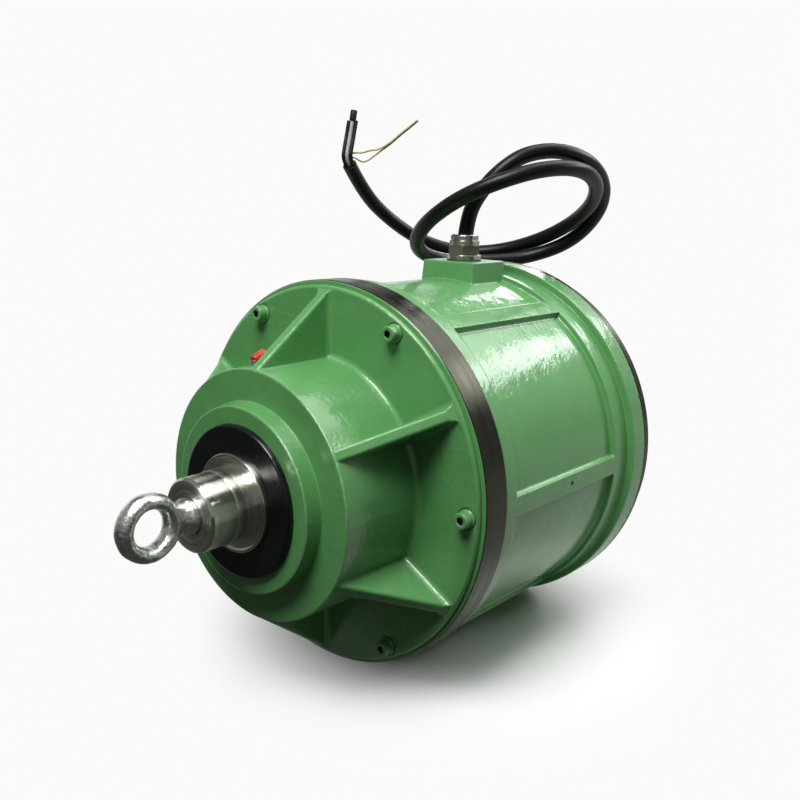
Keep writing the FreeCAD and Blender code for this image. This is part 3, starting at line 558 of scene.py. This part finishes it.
lower_lead_route = [
    (-0.1503, -0.005, 0.0823), (-0.1474, -0.006, 0.084), (-0.1429, -0.0051, 0.0826),
    (-0.1405, 0.0021, 0.0788), (-0.1349, 0.0047, 0.0806), (-0.1292, 0.0076, 0.0852),
    (-0.1222, 0.0112, 0.091), (-0.1135, 0.0168, 0.0983), (-0.1059, 0.0237, 0.1075),
    (-0.0986, 0.031, 0.1158), (-0.0936, 0.0365, 0.1221)]
print("cable enters at", [round(v, 4) for v in gland_entry])

# %% Round cords as curves
def add_object(name, data):
    """Put a mesh, curve, lamp or camera into the scene; returns its object."""
    made = bpy.data.objects.new(name, data)
    bpy.context.scene.collection.objects.link(made)
    return made


def on_motor(route, shift=Vector((0, 0, 0))):
    """A route measured from the gland, carried to its place on the motor."""
    return [gland_entry + Vector(point) + shift for point in route]


def spline_along(curve, points):
    """Add one smooth open spline with these control points."""
    spline = curve.splines.new("NURBS")
    spline.points.add(len(points) - 1)
    for control, point in zip(spline.points, points):
        control.co = (*point, 1.0)
    spline.order_u = 3
    spline.use_endpoint_u = True
    spline.resolution_u = 12


def round_cord(name, routes, radius, finish):
    """A curve object of round section along one or more routes."""
    curve = bpy.data.curves.new(name, "CURVE")
    curve.dimensions = "3D"
    curve.bevel_depth = radius
    curve.bevel_resolution = 8
    curve.use_fill_caps = True
    for points in routes:
        spline_along(curve, points)
    curve.materials.append(finish)
    return add_object(name, curve)


print("cord helpers ready")

# %% The cable
CABLE_RADIUS = 0.0075
cable = round_cord("supply_cable", [on_motor(cable_route)], CABLE_RADIUS, cable_rubber)
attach(cable, "housing")
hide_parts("cable")
print("cable has", len(cable_route), "control points")

# %% [markdown]
# ## The cut end
# Out of the sheath come three cores side by side, the middle one closed by a shrink sleeve,
# and a pair of thin sensor leads that spring open in a small loop. They are cords too, only
# thinner. They fan across the cut face, so their offsets follow the cable's last direction.

# %% A short tube, for the shrink sleeve and the caps
def straight_tube(name, start, direction, length, radius, finish):
    """A short closed tube with softened ends."""
    mesh = bpy.data.meshes.new(name)
    shape = bmesh.new()
    bmesh.ops.create_cone(shape, cap_ends=True, segments=32, radius1=radius, radius2=radius,
                          depth=length)
    rims = [edge for edge in shape.edges
            if abs(edge.verts[0].co.z - edge.verts[1].co.z) < length / 100]
    bmesh.ops.bevel(shape, geom=rims, offset=radius / 4, segments=3, profile=0.5, material=-1,
                    affect="EDGES")
    turn = direction.to_track_quat("Z", "Y").to_matrix().to_4x4()
    carry = Matrix.Translation(start + direction * (length / 2)) @ turn
    bmesh.ops.transform(shape, matrix=carry, verts=shape.verts)
    bmesh.ops.recalc_face_normals(shape, faces=shape.faces)
    for face in shape.faces:
        face.smooth = True
    shape.to_mesh(mesh)
    shape.free()
    mesh.materials.append(finish)
    return add_object(name, mesh)


print("tube helper ready")

# %% Cores, sleeve and sensor leads
CORE_RADIUS, CORE_SPACING = 0.0021, 0.0045
LEAD_RADIUS, LEAD_SPREAD = 0.0009, 0.001
SLEEVE_RADIUS, SLEEVE_LENGTH = 0.0036, 0.011
cut_end = gland_entry + Vector(cable_route[-1])
sheath_direction = (Vector(cable_route[-1]) - Vector(cable_route[-2])).normalized()
level = sheath_direction.cross(Vector(UPRIGHT)).normalized()
across = level.cross(sheath_direction)

cores = round_cord("cable_core_wires",
                   [on_motor(core_route, level * side * CORE_SPACING) for side in (-1, 0, 1)],
                   CORE_RADIUS, core_plastic)
cores.data.materials.append(grey_core)
cores.data.splines[1].material_index = 1
core_end, core_before = Vector(core_route[-1]), Vector(core_route[-2])
sleeve = straight_tube("core_end_sleeve", gland_entry + core_end,
                       (core_end - core_before).normalized(), SLEEVE_LENGTH, SLEEVE_RADIUS,
                       sleeve_plastic)
lead_foot = Vector(cable_route[-1]) + across * (CORE_SPACING + LEAD_SPREAD)
lead_routes = ((1, upper_lead_route), (-1, lower_lead_route))
leads = round_cord("sensor_leads",
                   [on_motor([lead_foot + level * (side * LEAD_SPREAD)] + route)
                    for side, route in lead_routes], LEAD_RADIUS, lead_plastic)
for piece, node, slot in ((cores, "cable_cores", "core_plastic"),
                          (sleeve, "core_sleeve", "core_plastic"),
                          (leads, "thin_leads", "lead_plastic")):
    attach(piece, "housing")
    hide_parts(node)
print("cut end at", [round(v, 4) for v in cut_end])

# %% [markdown]
# ## Lifting eye
# The eye is forged in one piece: a ring of oval section runs into a wide neck, and the neck
# into a round collar. Separate solids would meet in sharp lines. So the ring is spun, the neck
# is drawn out from ellipse to ellipse, and a voxel remesh melts both into one skin, which is
# smoothed and then pushed in and out a little, as a forging is.

# %% Ring and neck, melted together
eye_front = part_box("lifting_eye")[0][1]
VOXEL = 0.0005
RING_RADIUS, WIRE_RADIUS, WIRE_HALF_WIDTH = 0.0204, 0.0061, 0.0086
RING_Y = eye_front + RING_RADIUS + WIRE_RADIUS
# stations behind the ring's middle, with the half widths across and upright
neck_sections = [(0.0185, 0.0062, 0.0110), (0.0215, 0.0078, 0.0128), (0.0262, 0.0102, 0.0130),
                 (0.0300, 0.0134, 0.0138), (0.0318, 0.0149, 0.0149), (0.0372, 0.0149, 0.0149),
                 (0.0379, 0.0143, 0.0143), (0.0380, 0.0050, 0.0050), (0.0578, 0.0050, 0.0050)]


def spun_ring(shape):
    """Spin an oval section about the ring's middle."""
    section = bmesh.ops.create_circle(shape, cap_ends=False, segments=36, radius=1.0)["verts"]
    stand = (Matrix.Translation((0, RING_Y, RING_RADIUS)) @ Matrix.Rotation(pi / 2, 4, "X")
             @ Matrix.Diagonal((WIRE_HALF_WIDTH, WIRE_RADIUS, 1, 1)))
    bmesh.ops.transform(shape, matrix=stand, verts=section)
    rim = {edge for vert in section for edge in vert.link_edges}
    bmesh.ops.spin(shape, geom=list(section) + list(rim), cent=(0, RING_Y, 0), axis=(1, 0, 0),
                   dvec=(0, 0, 0), angle=2 * pi, steps=96, use_merge=True)


def rim_edges(shape, rim):
    """The edges that join the vertices of a rim."""
    return [edge for edge in shape.edges if edge.verts[0] in rim and edge.verts[1] in rim]


def next_rim(shape, rim):
    """Extrude a rim. Each new vertex keeps the place on the unit circle of the one under it."""
    made = bmesh.ops.extrude_edge_only(shape, edges=rim_edges(shape, rim))["geom"]
    fresh = [item for item in made if isinstance(item, bmesh.types.BMVert)]
    return {vert: rim[min(rim, key=lambda old: (old.co - vert.co).length)] for vert in fresh}


def drawn_neck(shape):
    """Extrude a disc from section to section."""
    disc = bmesh.ops.create_circle(shape, cap_ends=True, segments=48, radius=1.0)["verts"]
    bmesh.ops.transform(shape, matrix=Matrix.Rotation(pi / 2, 4, "X"), verts=disc)
    rim = {vert: vert.co.copy() for vert in disc}
    for number, (station, across, up) in enumerate(neck_sections):
        if number:
            rim = next_rim(shape, rim)
        for vert, unit in rim.items():
            vert.co = Vector((unit.x * across, RING_Y + station, unit.z * up))
    bmesh.ops.contextual_create(shape, geom=rim_edges(shape, rim))


def as_object(name, shape, finish):
    """Close a bmesh into an object with outward faces and its finish."""
    bmesh.ops.remove_doubles(shape, verts=shape.verts, dist=1e-6)
    bmesh.ops.recalc_face_normals(shape, faces=shape.faces)
    mesh = bpy.data.meshes.new(name)
    shape.to_mesh(mesh)
    shape.free()
    mesh.materials.append(finish)
    return add_object(name, mesh)


shape = bmesh.new()
spun_ring(shape)
drawn_neck(shape)
eye = as_object("forged_eye", shape, eye_metal)
melt = eye.modifiers.new("Melt", "REMESH")
melt.mode, melt.voxel_size, melt.use_smooth_shade = "VOXEL", VOXEL, True
soften = eye.modifiers.new("Soften", "SMOOTH")
soften.factor, soften.iterations = 0.5, 14
print("eye's ring at", round(RING_Y, 4))

# %% Forging marks on the eye: wide shallow dents with a finer roughness on them
DENTS_PER_METRE, DENT_DEPTH = 110.0, 0.00032
GRAIN_PER_METRE, GRAIN_DEPTH = 330.0, 0.00012
depsgraph = bpy.context.evaluated_depsgraph_get()
skin = bpy.data.meshes.new_from_object(eye.evaluated_get(depsgraph), depsgraph=depsgraph)
eye.modifiers.clear()
eye.data = skin
outward = [vert.normal.copy() for vert in skin.vertices]
for vert, normal in zip(skin.vertices, outward):
    dent = noise.noise(vert.co * DENTS_PER_METRE) * DENT_DEPTH
    grain = noise.noise(vert.co * GRAIN_PER_METRE) * GRAIN_DEPTH
    vert.co += normal * (dent + grain)
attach(eye, "rotor")
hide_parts("lifting_eye")
print("eye has", len(skin.polygons), "faces")

# %% [markdown]
# ## Nipple caps
# A soft red cap is pushed over each grease nipple, right down to its elbow, and stands fatter
# than a turned part would. A short tube with rolled edges is enough at its size.

# %% Red caps
LEAN, TURN = radians(70), radians(-6.5)
CAP_LENGTH, CAP_RADIUS = 0.0135, 0.0044
CAP_FOOT = 0.0095
for end, side in (("front", 1), ("rear", -1)):
    low, high = (Vector(corner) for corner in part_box(end + "_nipple_cap"))
    direction = Vector((sin(TURN) * cos(LEAN), side * sin(LEAN), cos(TURN) * cos(LEAN)))
    start = (low + high) / 2 - direction * CAP_FOOT
    cap = straight_tube(end + "_red_cap", start, direction, CAP_LENGTH, CAP_RADIUS, cap_plastic)
    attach(cap, "housing")
    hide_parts(end + "_nipple_cap")
print("caps on both nipples")

# %% [markdown]
# ## Studio
# The motor lies on a pale floor in a white sweep. Two strip softboxes behind it give the ragged
# glare on the panels, a key lamp stands high in front, and two weak ones fill from above and
# from the left. The backdrop is white only for the rays that see it, so it adds no light to the
# motor. Reflections meet a room of their own, mostly dark: a white wall at the back left, a
# strip of ceiling, and dim light from the front and from the corner at the back right. The
# dark parts give the bare metal its contrast.

# %% Floor
FLOOR_HEIGHT = min(corner[2] for corner in cad_box)
FLOOR_SPOT = (0.02, 0.13, FLOOR_HEIGHT)
FLOOR_HALF_SIDE = 6.0
WHITE = (0.955, 0.96, 0.95, 1)
FLOOR_SEEN, FLOOR_BOUNCE = (0.90, 0.905, 0.89, 1), (0.50, 0.505, 0.49, 1)
FLOOR_MIRRORED, FLOOR_DARK = (0.55, 0.555, 0.54, 1), (0.05, 0.05, 0.046, 1)
TO_FRONT = (0.35, -0.94, 0.0)


def any_mirrored(tree, path):
    """1 for a ray that left a glossy or clear surface."""
    return math_node(tree, "ADD", path["Is Glossy Ray"], path["Is Transmission Ray"], clamp=True)


def floor_finish():
    """Pale matt floor: it keeps the shadow near the motor and fades into the white backdrop.

    Mirrored and scattered rays find it dark in front of the motor, so that the front faces and
    the seal stay deep in colour."""
    material, tree, surface = new_finish("Pale studio floor", Roughness=0.6,
                                         Specular_IOR_Level=0.2)
    path = add_node(tree, "ShaderNodeLightPath").outputs
    tree.links.new(blend_colours(tree, path["Is Diffuse Ray"], FLOOR_SEEN, FLOOR_BOUNCE),
                   surface.inputs["Base Color"])
    place = object_place(tree)
    far = ramp(tree, length_of(tree, place), 0.09, 0.27)
    glow = blend_colours(tree, path["Is Glossy Ray"], WHITE, FLOOR_MIRRORED)
    white = add_node(tree, "ShaderNodeEmission", {"Color": glow}).outputs[0]
    dark = add_node(tree, "ShaderNodeEmission", {"Color": FLOOR_DARK}).outputs[0]
    seen = math_node(tree, "ADD", path["Is Camera Ray"], any_mirrored(tree, path), clamp=True)
    pale = add_node(tree, "ShaderNodeMixShader", {
        0: math_node(tree, "MULTIPLY", far, seen), 1: surface.outputs[0], 2: white}).outputs[0]
    in_front = ramp(tree, dot(tree, place, TO_FRONT), 0.09, 0.24)
    unseen = math_node(tree, "SUBTRACT", 1.0, path["Is Camera Ray"])
    mixed = add_node(tree, "ShaderNodeMixShader", {
        0: math_node(tree, "MULTIPLY", in_front, unseen), 1: pale, 2: dark})
    tree.links.new(mixed.outputs[0], tree.nodes["Material Output"].inputs["Surface"])
    return material


floor_mesh = bpy.data.meshes.new("floor")
shape = bmesh.new()
bmesh.ops.create_grid(shape, x_segments=1, y_segments=1, size=FLOOR_HALF_SIDE)
shape.to_mesh(floor_mesh)
shape.free()
floor_mesh.materials.append(floor_finish())
floor = add_object("floor", floor_mesh)
floor.location = FLOOR_SPOT
print("floor at", round(FLOOR_HEIGHT, 4))

# %% The room that reflections meet
TO_BACK_LEFT, TO_BACK_RIGHT = (-0.63, 0.74, 0.0), (0.66, 0.75, 0.0)
ROOM_DARK, ROOM_BRIGHT = (0.035, 0.036, 0.035, 1), (0.95, 0.955, 0.945, 1)
ROOM_FILL = (0.07, 0.071, 0.07, 1)


def room_brightness(tree, direction):
    """How bright the room is in a direction, from 0 to 1: the brightest of its four parts."""
    axes = add_node(tree, "ShaderNodeSeparateXYZ", {0: direction}).outputs
    height = axes["Z"]
    wall = math_node(tree, "MULTIPLY", ramp(tree, dot(tree, direction, TO_BACK_LEFT), 0.30, 0.70),
                     ramp(tree, height, 0.25, 0.5, 1.0, 0.0))
    sideways = math_node(tree, "DIVIDE", axes["X"], math_node(tree, "MAXIMUM", height, 0.05))
    strip = math_node(tree, "MULTIPLY", ramp(tree, sideways, -0.25, -0.08),
                      ramp(tree, sideways, 0.45, 0.60, 1.0, 0.0))
    ceiling = math_node(tree, "MULTIPLY", strip, ramp(tree, height, 0.30, 0.45))
    front = ramp(tree, axes["Y"], -0.35, 0.1, 0.27, 0.0)
    corner = math_node(tree, "MULTIPLY",
                       ramp(tree, dot(tree, direction, TO_BACK_RIGHT), 0.70, 0.90, 0.0, 0.32),
                       ramp(tree, height, 0.35, 0.5, 1.0, 0.0))
    behind = math_node(tree, "MAXIMUM", wall, ceiling)
    return math_node(tree, "MAXIMUM", behind, math_node(tree, "MAXIMUM", front, corner))


def studio_world():
    """White for the camera, the room for reflections, and a weak even fill for the rest."""
    world = bpy.data.worlds.new("Studio")
    world.use_nodes = True
    tree = world.node_tree
    path = add_node(tree, "ShaderNodeLightPath").outputs
    direction = add_node(tree, "ShaderNodeTexCoord").outputs["Generated"]
    room = blend_colours(tree, room_brightness(tree, direction), ROOM_DARK, ROOM_BRIGHT)
    lit = blend_colours(tree, any_mirrored(tree, path), ROOM_FILL, room)
    tree.links.new(blend_colours(tree, path["Is Camera Ray"], lit, WHITE),
                   tree.nodes["Background"].inputs["Color"])
    bpy.context.scene.world = world


studio_world()
print("world:", bpy.context.scene.world.name)

# %% Lamps
LAMP_TARGET = Vector((0.05, 0.1, 0))
LAMPS = {  # azimuth and elevation in degrees, distance, width, height, surface brightness
    "strip_right_back": (58, 34, 1.7, 1.18, 0.25, 6.5),
    "strip_left_back": (114, 27.5, 1.7, 0.32, 0.20, 8.0),
    "key_in_front": (-76, 60, 1.7, 0.8, 0.8, 11.5),
    "overhead": (75, 62, 1.5, 1.0, 1.4, 1.9),
    "left_back": (150, 45, 1.8, 0.6, 0.6, 1.0),
}


def softbox(name, azimuth, elevation, distance, width, height, brightness):
    """A rectangular lamp that looks at the motor, of a given surface brightness."""
    lamp = bpy.data.lights.new(name, "AREA")
    lamp.shape = "RECTANGLE"
    lamp.size, lamp.size_y = width, height
    lamp.energy = 4 * brightness * width * height
    azimuth, elevation = radians(azimuth), radians(elevation)
    out = Vector((cos(elevation) * cos(azimuth), cos(elevation) * sin(azimuth), sin(elevation)))
    turn = out.to_track_quat("Z", "Y").to_matrix().to_4x4()
    add_object(name, lamp).matrix_world = Matrix.Translation(LAMP_TARGET + out * distance) @ turn


for name, values in LAMPS.items():
    softbox(name, *values)
print("lamps:", [light.name for light in bpy.data.lights])

# %% [markdown]
# ## Camera
# The camera stands in front of the motor on its right and a little above it, at the place
# worked out from the ellipses of the round pieces. It is turned in three steps: the azimuth
# about the vertical, the tilt down, and a slight roll about the view.

# %% Camera
CAMERA_PLACE = (0.54968, -0.56533, 0.24441)
LENS, SENSOR_WIDTH = 41.53, 36.0
AZIMUTH, TILT, ROLL = radians(40.40), radians(12.77), radians(1.38)
camera_data = bpy.data.cameras.new("camera")
camera_data.lens, camera_data.sensor_width = LENS, SENSOR_WIDTH
camera = add_object("camera", camera_data)
camera.matrix_world = (Matrix.Translation(CAMERA_PLACE) @ Matrix.Rotation(AZIMUTH, 4, "Z")
                       @ Matrix.Rotation(pi / 2 - TILT, 4, "X") @ Matrix.Rotation(ROLL, 4, "Z"))
bpy.context.scene.camera = camera
bpy.context.scene.view_settings.view_transform = "Standard"
print("camera at", [round(v, 3) for v in camera.location])

# %% Update the view layer, and finish
bpy.context.view_layer.update()
